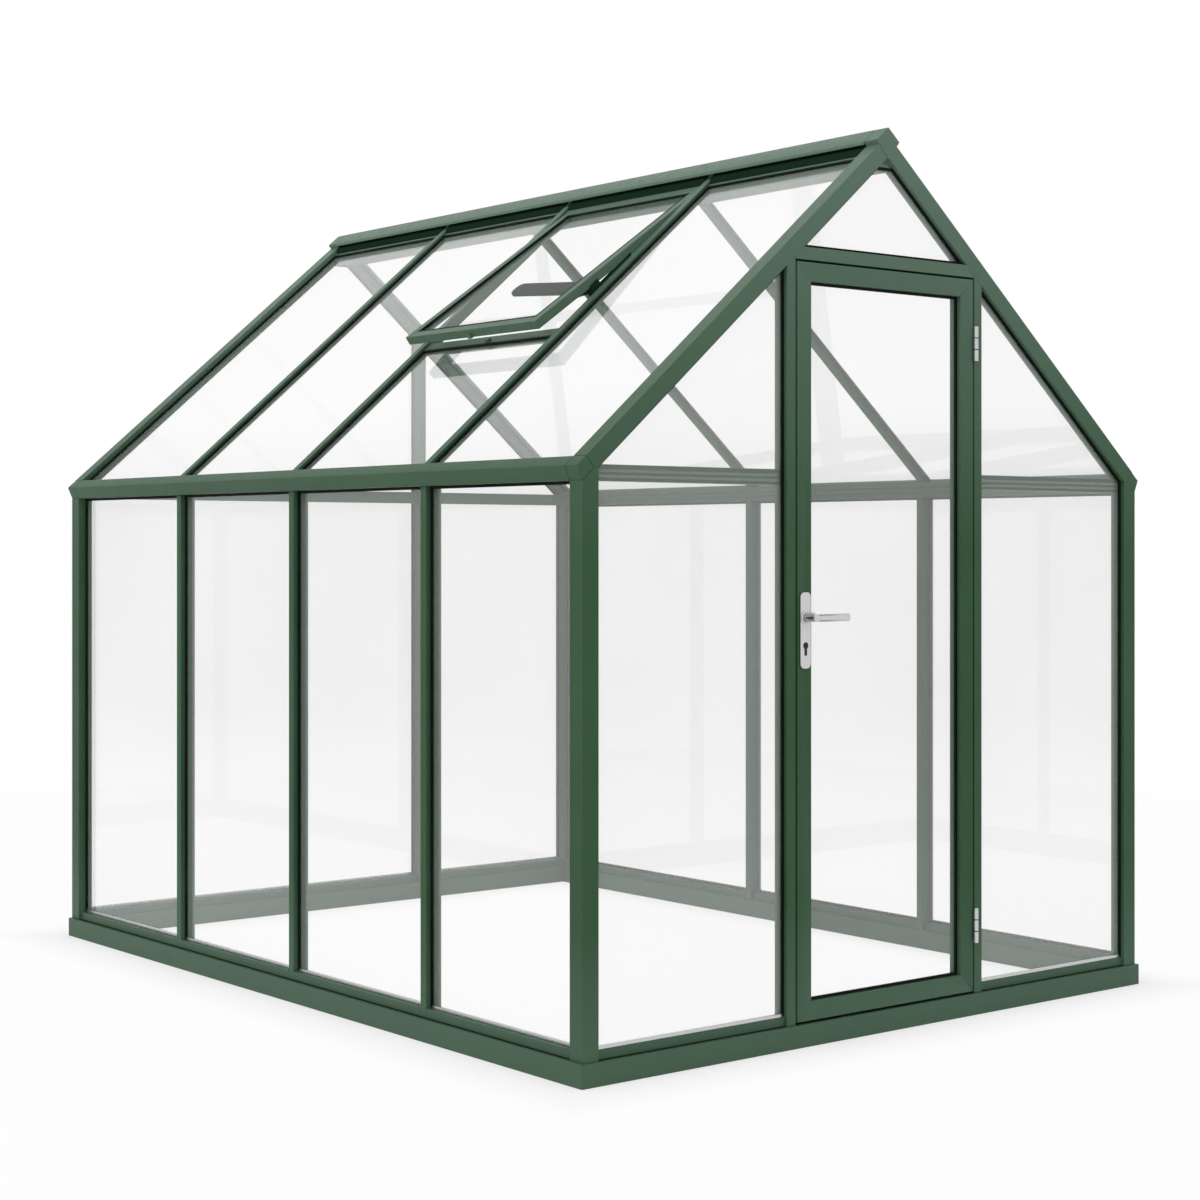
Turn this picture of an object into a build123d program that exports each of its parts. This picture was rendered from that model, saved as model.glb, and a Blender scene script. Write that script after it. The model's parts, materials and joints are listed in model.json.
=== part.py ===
from build123d import *
import math
import os

# base, X across the door end, Y front to back, Z up
base_width = 1950.0
base_length = 2560.0
base_height = 55.0
base_depth = 66.0
ledge = 8.0  # base showing outside the posts

# walls
post = 46.0
pane = 4.0  # glass thickness
glass_setback = 28.0  # post face to glass, side walls
gable_setback = 17.0  # the same in the gables
seat = 8.0  # glass let into the frame
bar_width = 24.0
bar_setback = 9.0  # post face to bar face
bar_depth = 48.0
cill_height = 22.0
cill_seat = 10.0
left_bays = 4
left_bar_shift = 15.0  # left bars nearer the door end than even bays
right_bar_shares = (0.403, 0.712)  # share of the wall from the back
back_bar_offset = 304.0

# eaves
eaves_height = 1349.0
eaves_lean = 15.0  # how far the outer face leans out
eaves_face = 34.0
eaves_strip = 34.0  # sloping strip on top
eaves_groove = 10.0
eaves_seat = 12.0  # ledge under the roof glass
rail_groove_shares = (0.3, 0.62)  # of the rail height, fine grooves along it
rail_groove_height = 4.0
rail_groove_depth = 3.0
shoulder_share = 0.86  # of the rafter depth, where post and end block part
transom_height = 38.0

# roof
ridge_height = 2243.0
ridge_step = 19.0  # cap above the rafters
ridge_half = 40.0
ridge_lip = 8.0
ridge_web = 20.0
ridge_flange = 40.0
flange_thick = 5.0
ridge_drop = 104.0
ridge_glass_end = 26.0
ridge_block_proud = 2.0
rafter_face = 42.0
roof_glass_setback = 19.0
roof_bar_sink = 6.0  # roof bars below the rafter plane
roof_bar_depth = 28.0

# roof vent, standing open
vent_bay = 1  # bays in front of it
vent_overlap = 18.0  # sash past the low edge of its cill
vent_cill_width = 30.0
vent_cill_sink = 12.0
vent_cill_thick = 26.0
vent_side_gap = 3.0
vent_length = 690.0
vent_thick = 24.0
vent_rail = 26.0
vent_angle = 5.5
vent_glass_sink = 6.0
vent_hinge_drop = 14.0  # sash top below the rafter plane
catch_width = 16.0
catch_depth = 8.0
catch_height = 14.0

# opener arms under the sash, off the front bar of the bay
opener_down_share = 0.7  # of the sash length, from its hinge
opener_thick = 8.0
arm_length = 395.0
arm_width = 50.0
arm_turn = 7.0
short_arm_length = 130.0
short_arm_width = 26.0
short_arm_turn = -20.0
bracket_width = 27.0
bracket_length = 34.0
bracket_rise = 14.0
bracket_sink = 22.0
link_length = 150.0
link_sink = 18.0

# doorway and door
jamb_outer = 344.0
jamb_width = 28.0
head_height = 31.0
head_corner_share = 0.25  # of the jamb width, where rafter and head meet
door_gap = 5.2
leaf_depth = 40.0
stile = 46.0
door_glass_setback = 18.0
apex_gap = 10.0  # gable glass below the ridge end block

# hinges
hinge_from_top = 165.0  # leaf edge to hinge middle
hinge_from_bottom = 170.0
hinge_height = 89.0
hinge_radius = 6.5
hinge_out = 7.5  # pin in front of the leaf face
hinge_plate = 2.0
hinge_reach = 24.0
knuckle_gap = 0.8

# handle set
handle_inset = 23.0  # from the leaf edge
lever_height = 1031.0
plate_width = 34.0
plate_height = 183.0
plate_thick = 5.0
plate_corner = 12.0
plate_above = 61.0  # lever to top of plate
lever_neck_radius = 9.0
lever_out = 40.0
lever_length = 112.0
lever_section = 18.0
lever_thick = 10.0
lever_round = 4.0
lever_clear = 0.6
spindle_radius = 4.5
spindle_hole = 6.0
lock_below = 67.0
lock_radius = 8.5
lock_slot_width = 9.0
lock_slot_drop = 24.0
lock_sink = 2.0

half_w = base_width / 2
half_l = base_length / 2
wall_x = half_w - ledge
wall_y = half_l - ledge
post_x = wall_x - post
post_y = wall_y - post
glass_x = wall_x - glass_setback
glass_y = wall_y - gable_setback
glass_low = base_height + cill_height - cill_seat

# roof plane through the top of the eaves lip, right hand side
lip_x = wall_x + eaves_lean
lip_z = eaves_height + eaves_face
roof_tan = (ridge_height - ridge_step - lip_z) / lip_x
roof_angle = math.atan(roof_tan)
roof_cos = math.cos(roof_angle)
roof_sin = math.sin(roof_angle)


def on_roof(up, sink):
    # point on the right slope, up from the eaves lip and sunk below the rafter plane
    x = lip_x - up * roof_cos - sink * roof_sin
    z = lip_z + up * roof_sin - sink * roof_cos
    return (x, z)


def under_rafter(x, extra):
    # height of the rafter underside over x, raised by the glass let in
    drop = (rafter_face - extra) / roof_cos
    return lip_z + (lip_x - abs(x)) * roof_tan - drop


def rafter_x(z, extra):
    # how far out the same underside is at height z
    drop = (rafter_face - extra) / roof_cos
    return lip_x - (z - lip_z + drop) / roof_tan


def block(x0, x1, y0, y1, z0, z1):
    centre = Pos((x0 + x1) / 2, (y0 + y1) / 2, (z0 + z1) / 2)
    return centre * Box(abs(x1 - x0), abs(y1 - y0), abs(z1 - z0))


def prism_y(points, y0, y1):
    outline = Polyline([(x, y0, z) for x, z in points], close=True)
    return extrude(make_face(outline), amount=y1 - y0, dir=(0, 1, 0))


def prism_z(points, z0, z1):
    outline = Polyline([(x, y, z0) for x, y in points], close=True)
    return extrude(make_face(outline), amount=z1 - z0, dir=(0, 0, 1))


def both_sides(points):
    # right hand outline closed by its mirror image
    return points + [(-x, z) for x, z in reversed(points) if x]


def rod_y(x, z, radius, y0, y1):
    place = Plane(origin=(x, y0, z), x_dir=(1, 0, 0), z_dir=(0, 1, 0))
    return extrude(place * Circle(radius), amount=y1 - y0, dir=(0, 1, 0))


def to_left(shape):
    return mirror(shape, about=Plane.YZ)


def to_back(shape):
    return mirror(shape, about=Plane.XZ)


def less(shape, *cuts):
    for cut in cuts:
        shape = shape - cut
    return shape


nodes = {}


def keep(name, *shapes):
    solids = [solid for shape in shapes for solid in shape.solids()]
    nodes[name] = solids[0] if len(solids) == 1 else Compound(children=solids)


# where the bars stand
side_clear = 2 * post_y
left_pitch = (side_clear + bar_width) / left_bays
left_start = -post_y - bar_width / 2 - left_bar_shift
left_bars = [left_start + left_pitch * i for i in range(1, left_bays)]
right_bars = sorted(post_y - share * side_clear for share in right_bar_shares)
back_bars = [back_bar_offset]


def bays(ends, bars):
    # clear spaces between the posts and bars
    edges = [-ends]
    for bar in bars:
        edges += [bar - bar_width / 2, bar + bar_width / 2]
    edges.append(ends)
    return list(zip(edges[::2], edges[1::2]))


left_spaces = bays(post_y, left_bars)
right_spaces = bays(post_y, right_bars)
back_spaces = bays(post_x, back_bars)

# glass in the side walls, drawn on the right
glass_top = eaves_height + eaves_groove


def side_panes(spaces):
    return [block(glass_x - pane, glass_x, a - seat, b + seat, glass_low, glass_top) for a, b in spaces]


right_panes = side_panes(right_spaces)
left_panes = [to_left(p) for p in side_panes(left_spaces)]

# ridge end block, its lower sides square to the rafters
cap_fall = ridge_half * roof_tan
cap_edge = ridge_height - cap_fall
kite_low = cap_edge - ridge_half / roof_tan

# door head between the rafters
jamb_inner = jamb_outer - jamb_width
head_half_low = jamb_inner + jamb_width * head_corner_share
head_bottom = under_rafter(head_half_low, 0)
head_top = head_bottom + head_height
head_half_top = rafter_x(head_top, 0)

# glass in the gables, cut to the slope of the rafters
front_face = -glass_y
apex_flat = kite_low - apex_gap
apex_flat_half = rafter_x(apex_flat, seat)


def gable_pane(x0, x1, y0, low):
    points = [(x0, low), (x1, low), (x1, under_rafter(x1, seat)), (x0, under_rafter(x0, seat))]
    return prism_y(points, y0, y0 + pane)


front_right_pane = gable_pane(jamb_outer - seat, post_x + seat, front_face, glass_low)
front_left_pane = to_left(front_right_pane)
apex_low = head_top - seat
apex_top = (apex_flat_half, apex_flat)
apex_points = both_sides([(rafter_x(apex_low, seat), apex_low), apex_top])
front_apex_pane = prism_y(apex_points, front_face, front_face + pane)
back_face = glass_y - pane
back_right_pane = gable_pane(back_spaces[1][0] - seat, post_x + seat, back_face, glass_low)
wide_right = back_spaces[0][1] + seat
wide_left = -post_x - seat
wide_points = [
    (wide_left, glass_low),
    (wide_right, glass_low),
    (wide_right, under_rafter(wide_right, seat)),
    apex_top,
    (-apex_flat_half, apex_flat),
    (wide_left, under_rafter(wide_left, seat)),
]
back_wide_pane = prism_y(wide_points, back_face, back_face + pane)
front_panes = [front_left_pane, front_right_pane, front_apex_pane]
back_panes = [back_wide_pane, back_right_pane]

# roof glass, drawn on the right
glass_up = (lip_x - ridge_glass_end) / roof_cos - roof_glass_setback * roof_tan


def roof_slab(up0, up1, sink0, sink1, y0, y1):
    corners = [on_roof(up0, sink0), on_roof(up1, sink0), on_roof(up1, sink1), on_roof(up0, sink1)]
    return prism_y(corners, y0, y1)


def roof_pane(space, up1):
    sink = roof_glass_setback
    return roof_slab(eaves_strip, up1, sink, sink + pane, space[0] - seat, space[1] + seat)


vent_space = left_spaces[vent_bay]
vent_top_up = (lip_x - ridge_flange) / roof_cos
vent_cill_up = vent_top_up - vent_length + vent_overlap
right_roof_panes = [roof_pane(space, glass_up) for space in right_spaces]
left_roof_panes = []
for space in left_spaces:
    top = vent_cill_up + seat if space == vent_space else glass_up
    left_roof_panes.append(to_left(roof_pane(space, top)))

# base rails with mitred corners
in_w = half_w - base_depth
in_l = half_l - base_depth
front_rail = prism_z([(-half_w, -half_l), (half_w, -half_l), (in_w, -in_l), (-in_w, -in_l)], 0, base_height)
right_rail = prism_z([(half_w, -half_l), (half_w, half_l), (in_w, in_l), (in_w, -in_l)], 0, base_height)
keep("base_end_rails", front_rail, to_back(front_rail))
keep("base_side_rails", right_rail, to_left(right_rail))

# corner posts, cut under the eaves and the rafter
lip = (lip_x, lip_z)
strip_end = on_roof(eaves_strip, 0)
foot = on_roof(eaves_strip, rafter_face)
shoulder = on_roof(eaves_strip, rafter_face * shoulder_share)
post_points = [
    (wall_x, base_height),
    (wall_x, eaves_height),
    shoulder,
    foot,
    (post_x, under_rafter(post_x, 0)),
    (post_x, base_height),
]
plain_post = prism_y(post_points, -wall_y, -post_y)
front_right_post = less(plain_post, front_right_pane, right_panes[0])
front_left_post = less(to_left(plain_post), front_left_pane, left_panes[0])
back_right_post = less(to_back(plain_post), back_right_pane, right_panes[-1])
back_left_post = less(to_back(to_left(plain_post)), back_wide_pane, left_panes[-1])
keep("corner_posts", front_right_post, front_left_post, back_right_post, back_left_post)

# eaves end blocks over the posts
block_points = [(wall_x, eaves_height), lip, strip_end, shoulder]
end_block = prism_y(block_points, -wall_y, -post_y)
keep("eaves_end_blocks", end_block, to_left(end_block), to_back(end_block), to_back(to_left(end_block)))

# eaves rails between the posts
eaves_inner = wall_x - bar_setback - bar_depth
glass_under = roof_glass_setback + pane
seat_inner = on_roof(eaves_strip, glass_under)
seat_end = on_roof(eaves_strip + eaves_seat, glass_under)
eaves_points = [
    (wall_x, eaves_height),
    lip,
    strip_end,
    seat_inner,
    seat_end,
    (eaves_inner, seat_end[1]),
    (eaves_inner, eaves_height),
]


def groove_spans(low, high):
    # heights of the fine grooves along a rail
    middles = [low + share * (high - low) for share in rail_groove_shares]
    return [(z - rail_groove_height / 2, z + rail_groove_height / 2) for z in middles]


plain_eaves = prism_y(eaves_points, -post_y, post_y)
groove_x = eaves_inner + rail_groove_depth
grooved_eaves = plain_eaves
for z0, z1 in groove_spans(eaves_height, seat_end[1]):
    grooved_eaves = grooved_eaves - block(eaves_inner, groove_x, -post_y, post_y, z0, z1)
right_eaves = less(grooved_eaves, *right_panes)
left_eaves = less(to_left(grooved_eaves), *left_panes)
keep("right_eaves_rail", right_eaves)
keep("left_eaves_rail", left_eaves)

# cill rails between the posts and bars
cill_out = bar_setback
cill_top = base_height + cill_height


def side_cills(spaces, panes):
    rails = []
    for (a, b), glass in zip(spaces, panes):
        rails.append(block(post_x, wall_x - cill_out, a, b, base_height, cill_top) - glass)
    return rails


left_cills = [to_left(c) for c in side_cills(left_spaces, side_panes(left_spaces))]
keep("left_cill_rails", *left_cills)
keep("right_cill_rails", *side_cills(right_spaces, right_panes))
front_cill = block(jamb_outer, post_x, cill_out - wall_y, -post_y, base_height, cill_top)
keep("front_cill_rails", front_cill - front_right_pane, to_left(front_cill) - front_left_pane)
back_cills = []
for (a, b), glass in zip(back_spaces, back_panes):
    back_cills.append(block(a, b, post_y, wall_y - cill_out, base_height, cill_top) - glass)
keep("back_cill_rails", *back_cills)

# upright glazing bars
bar_out = wall_x - bar_setback
bar_in = bar_out - bar_depth


def side_bars(places, panes):
    made = []
    for y in places:
        plain = block(bar_in, bar_out, y - bar_width / 2, y + bar_width / 2, base_height, eaves_height)
        made.append(less(plain, *panes))
    return made


keep("right_wall_bars", *side_bars(right_bars, right_panes))
keep("left_wall_bars", *[to_left(b) for b in side_bars(left_bars, side_panes(left_spaces))])
back_out = wall_y - bar_setback
back_a = back_bar_offset - bar_width / 2
back_b = back_bar_offset + bar_width / 2
back_points = [
    (back_a, base_height),
    (back_b, base_height),
    (back_b, under_rafter(back_b, 0)),
    (back_a, under_rafter(back_a, 0)),
]
keep("back_wall_bar", less(prism_y(back_points, back_out - bar_depth, back_out), *back_panes))

# gable rafters, stopping square against the ridge end blocks
rafter_up = (lip_x - ridge_half) * roof_cos + (cap_edge - lip_z) * roof_sin
plain_rafter = roof_slab(eaves_strip, rafter_up, 0, rafter_face, -wall_y, -post_y)
back_rafter = to_back(plain_rafter)
front_right_rafter = less(plain_rafter, front_right_pane, front_apex_pane, right_roof_panes[0])
front_left_rafter = less(to_left(plain_rafter), front_left_pane, front_apex_pane, left_roof_panes[0])
back_right_rafter = less(back_rafter, back_right_pane, back_wide_pane, right_roof_panes[-1])
back_left_rafter = less(to_left(back_rafter), back_wide_pane, left_roof_panes[-1])
keep("gable_rafters", front_right_rafter, front_left_rafter, back_right_rafter, back_left_rafter)

# transoms inside the gable glass at eaves height
transom_top = eaves_height + transom_height
transom_grooves = []
for z0, z1 in groove_spans(eaves_height, transom_top):
    transom_grooves.append(block(-post_x, post_x, back_face - rail_groove_depth, back_face, z0, z1))
front_transom = block(jamb_outer, post_x, -back_face, -post_y, eaves_height, transom_top)
front_transom = less(front_transom, plain_rafter, *[to_back(groove) for groove in transom_grooves])
keep("front_transoms", front_transom, to_left(front_transom))
back_transoms = []
for a, b in back_spaces:
    plain = block(a, b, post_y, back_face, eaves_height, transom_top)
    back_transoms.append(less(plain, back_rafter, to_left(back_rafter), *transom_grooves))
keep("back_transoms", *back_transoms)

# ridge with its cap and glazing flanges
lip_low = cap_edge - ridge_lip
web_top = lip_low + (ridge_half - ridge_web) * roof_tan
flange_sink = roof_glass_setback - flange_thick


def plane_z(x, sink):
    return lip_z + (lip_x - x) * roof_tan - sink / roof_cos


ridge_right = [
    (0, ridge_height),
    (ridge_half, cap_edge),
    (ridge_half, lip_low),
    (ridge_web, web_top),
    (ridge_web, plane_z(ridge_web, flange_sink)),
    (ridge_flange, plane_z(ridge_flange, flange_sink)),
    (ridge_flange, ridge_height - ridge_drop),
]
plain_ridge = prism_y(both_sides(ridge_right), -post_y, post_y)
ridge = less(plain_ridge, *left_roof_panes, *right_roof_panes)
keep("ridge_beam", ridge)

# ridge end blocks
kite_points = both_sides([(0, ridge_height), (ridge_half, cap_edge), (0, kite_low)])
front_block = prism_y(kite_points, -wall_y - ridge_block_proud, -post_y)
keep("ridge_end_blocks", front_block, to_back(front_block))

# roof glazing bars
bar_up = (lip_x - ridge_web) / roof_cos


def roof_bar(y):
    low = roof_bar_sink + roof_bar_depth
    return roof_slab(eaves_strip, bar_up, roof_bar_sink, low, y - bar_width / 2, y + bar_width / 2)


right_roof_bars = [less(roof_bar(y), plain_eaves, plain_ridge, *right_roof_panes) for y in right_bars]
left_cuts = [to_left(plain_eaves), plain_ridge, *left_roof_panes]
left_roof_bars = [less(to_left(roof_bar(y)), *left_cuts) for y in left_bars]
keep("right_roof_bars", *right_roof_bars)
keep("left_roof_bars", *left_roof_bars)

keep("left_wall_glass", *left_panes)
keep("right_wall_glass", *right_panes)
keep("front_gable_glass", *front_panes)
keep("back_gable_glass", *back_panes)
keep("left_roof_glass", *left_roof_panes)
keep("right_roof_glass", *right_roof_panes)

# vent cill across its bay
vent_cill = roof_slab(
    vent_cill_up,
    vent_cill_up + vent_cill_width,
    vent_cill_sink,
    vent_cill_sink + vent_cill_thick,
    *vent_space,
)
keep("vent_cill", less(to_left(vent_cill), *left_roof_panes))

# vent sash, raised about its top edge
vent_slope = roof_angle - math.radians(vent_angle)
sash_cos = math.cos(vent_slope)
sash_sin = math.sin(vent_slope)
hinge_z = plane_z(ridge_flange, vent_hinge_drop)
sash_a = vent_space[0] + vent_side_gap
sash_b = vent_space[1] - vent_side_gap


def on_sash(down, sink):
    x = ridge_flange + down * sash_cos - sink * sash_sin
    z = hinge_z - down * sash_sin - sink * sash_cos
    return (x, z)


def sash_slab(down0, down1, sink0, sink1, y0, y1):
    corners = [on_sash(down0, sink0), on_sash(down1, sink0), on_sash(down1, sink1), on_sash(down0, sink1)]
    return to_left(prism_y(corners, y0, y1))


sash_glass_low = vent_glass_sink + pane
vent_pane = sash_slab(
    vent_rail - seat,
    vent_length - vent_rail + seat,
    vent_glass_sink,
    sash_glass_low,
    sash_a + vent_rail - seat,
    sash_b - vent_rail + seat,
)
rail_a = sash_a + vent_rail
rail_b = sash_b - vent_rail
front_stile = sash_slab(0, vent_length, 0, vent_thick, sash_a, rail_a)
back_stile = sash_slab(0, vent_length, 0, vent_thick, rail_b, sash_b)
top_rail = sash_slab(0, vent_rail, 0, vent_thick, rail_a, rail_b)
low_rail = sash_slab(vent_length - vent_rail, vent_length, 0, vent_thick, rail_a, rail_b)
vent_stiles = [less(piece, vent_pane, plain_ridge) for piece in (front_stile, back_stile)]
vent_rails = [less(piece, vent_pane, plain_ridge) for piece in (top_rail, low_rail)]
keep("vent_stiles", *vent_stiles)
keep("vent_rails", *vent_rails)
keep("vent_glass", vent_pane)

# catch halves at the middle of the sash bottom rail and of the cill
catch_y = (sash_a + sash_b) / 2
catch_a = catch_y - catch_width / 2
catch_b = catch_y + catch_width / 2
sash_catch = sash_slab(
    vent_length, vent_length + catch_depth, vent_thick - catch_height, vent_thick, catch_a, catch_b
)
cill_catch = roof_slab(
    vent_cill_up, vent_cill_up + catch_height, vent_cill_sink - catch_depth, vent_cill_sink, catch_a, catch_b
)
keep("vent_catches", sash_catch, to_left(cill_catch))

# opener, a bracket between bar and sash with two arms and a link along the bar
opener_up = vent_top_up - vent_length * opener_down_share
opener_x, opener_z = on_roof(opener_up, 0)
opener_plane = Plane(origin=(opener_x, 0, opener_z), x_dir=(0, 1, 0), z_dir=(roof_sin, 0, roof_cos))
opener_y = vent_space[0]


def opener_arm(length, width, turn):
    reach = length / 2
    angle = math.radians(turn)
    mid_y = opener_y + bracket_width / 2 + reach * math.cos(angle)
    arm_place = Pos(mid_y, reach * math.sin(angle)) * Rot(0, 0, turn)
    return extrude(opener_plane * arm_place * SlotOverall(length, width), amount=-opener_thick)


half_bracket = bracket_length / 2
bracket = roof_slab(
    opener_up - half_bracket,
    opener_up + half_bracket,
    -bracket_rise,
    bracket_sink,
    opener_y,
    opener_y + bracket_width,
)
link = roof_slab(opener_up, opener_up + link_length, 0, link_sink, opener_y, opener_y + opener_thick)
long_arm = opener_arm(arm_length, arm_width, arm_turn)
short_arm = opener_arm(short_arm_length, short_arm_width, short_arm_turn)
opener = to_left(bracket + link + long_arm + short_arm)
keep("vent_opener", less(opener, *vent_stiles, vent_pane))

# door posts and head
jamb_points = [
    (jamb_inner, base_height),
    (jamb_outer, base_height),
    (jamb_outer, under_rafter(jamb_outer, 0)),
    (head_half_low, head_bottom),
    (jamb_inner, head_bottom),
]
plain_jamb = prism_y(jamb_points, -wall_y, -post_y)
keep("door_jambs", plain_jamb - front_right_pane, to_left(plain_jamb) - front_left_pane)
head_points = both_sides([(head_half_low, head_bottom), (head_half_top, head_top)])
keep("door_head", prism_y(head_points, -wall_y, -post_y) - front_apex_pane)

# door leaf with mitred corners
leaf_half = jamb_inner - door_gap
leaf_low = base_height + door_gap
leaf_top = head_bottom - door_gap
leaf_y0 = -wall_y
leaf_y1 = leaf_y0 + leaf_depth
door_pane_y = leaf_y0 + door_glass_setback
open_half = leaf_half - stile
open_low = leaf_low + stile
open_top = leaf_top - stile
door_pane = block(
    -open_half - seat,
    open_half + seat,
    door_pane_y,
    door_pane_y + pane,
    open_low - seat,
    open_top + seat,
)
stile_points = [
    (leaf_half, leaf_low),
    (leaf_half, leaf_top),
    (open_half, open_top),
    (open_half, open_low),
]
hinge_stile = prism_y(stile_points, leaf_y0, leaf_y1) - door_pane
top_points = both_sides([(leaf_half, leaf_top), (open_half, open_top)])
low_points = both_sides([(leaf_half, leaf_low), (open_half, open_low)])
keep("door_hinge_stile", hinge_stile)
keep("door_top_rail", prism_y(top_points, leaf_y0, leaf_y1) - door_pane)
keep("door_bottom_rail", prism_y(low_points, leaf_y0, leaf_y1) - door_pane)
keep("door_glass", door_pane)

# handle plates, lock and lever on the other stile
lever_x = handle_inset - leaf_half
lock_z = lever_height - lock_below
plate_mid = lever_height + plate_above - plate_height / 2
spindle_cut = rod_y(lever_x, lever_height, spindle_hole, leaf_y0 - plate_thick, leaf_y1 + plate_thick)
lock_y0 = leaf_y0 - plate_thick + lock_sink
lock_y1 = leaf_y1 + plate_thick - lock_sink
lock_low = lock_z - lock_slot_drop


def lock_shape(y0, y1):
    slot_half = lock_slot_width / 2
    slot = block(lever_x - slot_half, lever_x + slot_half, y0, y1, lock_low, lock_z)
    return rod_y(lever_x, lock_z, lock_radius, y0, y1) + slot


lock_hole = lock_shape(leaf_y0 - plate_thick, leaf_y1 + plate_thick)
lock_stile = less(to_left(prism_y(stile_points, leaf_y0, leaf_y1)), door_pane, spindle_cut, lock_hole)
keep("door_lock_stile", lock_stile)


def handle_plate(y0):
    place = Plane(origin=(lever_x, y0, plate_mid), x_dir=(1, 0, 0), z_dir=(0, 1, 0))
    outline = place * RectangleRounded(plate_width, plate_height, plate_corner)
    return less(extrude(outline, amount=plate_thick, dir=(0, 1, 0)), spindle_cut, lock_hole)


keep("handle_plates", handle_plate(leaf_y0 - plate_thick), handle_plate(leaf_y1))
keep("lock_cylinder", lock_shape(lock_y0, lock_y1))

neck_y0 = leaf_y0 - plate_thick - lever_clear
neck_y1 = leaf_y1 + plate_thick + lever_clear


def lever_arm(y0, y1):
    # neck from the plate and a rounded grip across its end
    neck = rod_y(lever_x, lever_height, lever_neck_radius, min(y0, y1), max(y0, y1))
    grip_y0 = y1 if y1 < y0 else y1 - lever_thick
    grip = block(
        lever_x - lever_section / 2,
        lever_x + lever_length,
        grip_y0,
        grip_y0 + lever_thick,
        lever_height - lever_section / 2,
        lever_height + lever_section / 2,
    )
    return neck + fillet(grip.edges(), lever_round)


spindle = rod_y(lever_x, lever_height, spindle_radius, neck_y0, neck_y1)
outer_arm = lever_arm(neck_y0, neck_y0 - lever_out)
inner_arm = lever_arm(neck_y1, neck_y1 + lever_out)
keep("door_lever", spindle + outer_arm + inner_arm)

# hinges, pin axis in the gap in front of the leaf
pin_x = leaf_half + door_gap / 2
pin_y = leaf_y0 - hinge_out
knuckle = (hinge_height - 2 * knuckle_gap) / 3
frame_hinges = []
leaf_hinges = []


def knuckle_at(z0, plate_x0, plate_x1):
    barrel = Pos(pin_x, pin_y, z0 + knuckle / 2) * Cylinder(hinge_radius, knuckle)
    return barrel + block(plate_x0, plate_x1, pin_y, leaf_y0, z0, z0 + knuckle)


for middle in (leaf_low + hinge_from_bottom, leaf_top - hinge_from_top):
    low = middle - hinge_height / 2
    second = low + knuckle + knuckle_gap
    third = second + knuckle + knuckle_gap
    frame_x = jamb_inner - hinge_plate
    leaf_x = leaf_half + hinge_plate
    frame_plate = block(frame_x, jamb_inner, leaf_y0, leaf_y0 + hinge_reach, low, low + hinge_height)
    leaf_plate = block(leaf_half, leaf_x, leaf_y0, leaf_y0 + hinge_reach, low, low + hinge_height)
    lower = knuckle_at(low, frame_x, jamb_inner)
    upper = knuckle_at(third, frame_x, jamb_inner)
    frame_hinges.append(frame_plate + lower + upper)
    leaf_hinges.append(leaf_plate + knuckle_at(second, leaf_half, leaf_x))
keep("frame_hinge_leaves", *frame_hinges)
keep("door_hinge_leaves", *leaf_hinges)

os.makedirs("parts", exist_ok=True)
for name, shape in nodes.items():
    export_step(shape, f"parts/{name}.step")
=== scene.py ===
import json
import math
import bmesh
import bpy
from mathutils import Matrix, Vector


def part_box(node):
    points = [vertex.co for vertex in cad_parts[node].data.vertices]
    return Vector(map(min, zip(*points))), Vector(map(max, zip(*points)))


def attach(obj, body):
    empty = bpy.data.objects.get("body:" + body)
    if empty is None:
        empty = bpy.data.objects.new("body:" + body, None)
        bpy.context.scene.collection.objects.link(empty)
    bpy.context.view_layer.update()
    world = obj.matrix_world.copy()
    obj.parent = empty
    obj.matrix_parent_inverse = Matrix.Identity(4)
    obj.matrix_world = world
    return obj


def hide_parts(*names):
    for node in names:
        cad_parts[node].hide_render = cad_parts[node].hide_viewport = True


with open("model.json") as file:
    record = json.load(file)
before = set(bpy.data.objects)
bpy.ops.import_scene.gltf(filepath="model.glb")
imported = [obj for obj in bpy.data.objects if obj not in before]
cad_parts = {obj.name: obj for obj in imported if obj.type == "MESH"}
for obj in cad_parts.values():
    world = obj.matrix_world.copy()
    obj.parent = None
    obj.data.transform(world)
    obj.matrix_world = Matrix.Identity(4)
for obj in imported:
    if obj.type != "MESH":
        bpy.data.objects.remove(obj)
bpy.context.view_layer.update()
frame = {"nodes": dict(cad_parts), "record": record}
nodes = frame["nodes"]
mm = 0.001
print("frame loaded,", len(nodes), "nodes")


def srgb(red, green, blue):
    # screen values 0 to 255 to linear colour
    def linear(value):
        value = value / 255
        return value / 12.92 if value <= 0.04045 else ((value + 0.055) / 1.055) ** 2.4

    return (linear(red), linear(green), linear(blue), 1.0)


# shader groups shared by the finishes

def newGroup(name, inputs, outputs):
    tree = bpy.data.node_groups.new(name, "ShaderNodeTree")
    for label, kind in inputs:
        tree.interface.new_socket(name=label, in_out="INPUT", socket_type=kind)
    for label, kind in outputs:
        tree.interface.new_socket(name=label, in_out="OUTPUT", socket_type=kind)
    source = tree.nodes.new("NodeGroupInput")
    result = tree.nodes.new("NodeGroupOutput")
    return tree, source, result


def addNoise(tree, vector, scale, detail=2.0):
    noise = tree.nodes.new("ShaderNodeTexNoise")
    tree.links.new(vector, noise.inputs["Vector"])
    if isinstance(scale, float):
        noise.inputs["Scale"].default_value = scale
    else:
        tree.links.new(scale, noise.inputs["Scale"])
    noise.inputs["Detail"].default_value = detail
    return noise.outputs["Fac"]


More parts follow.
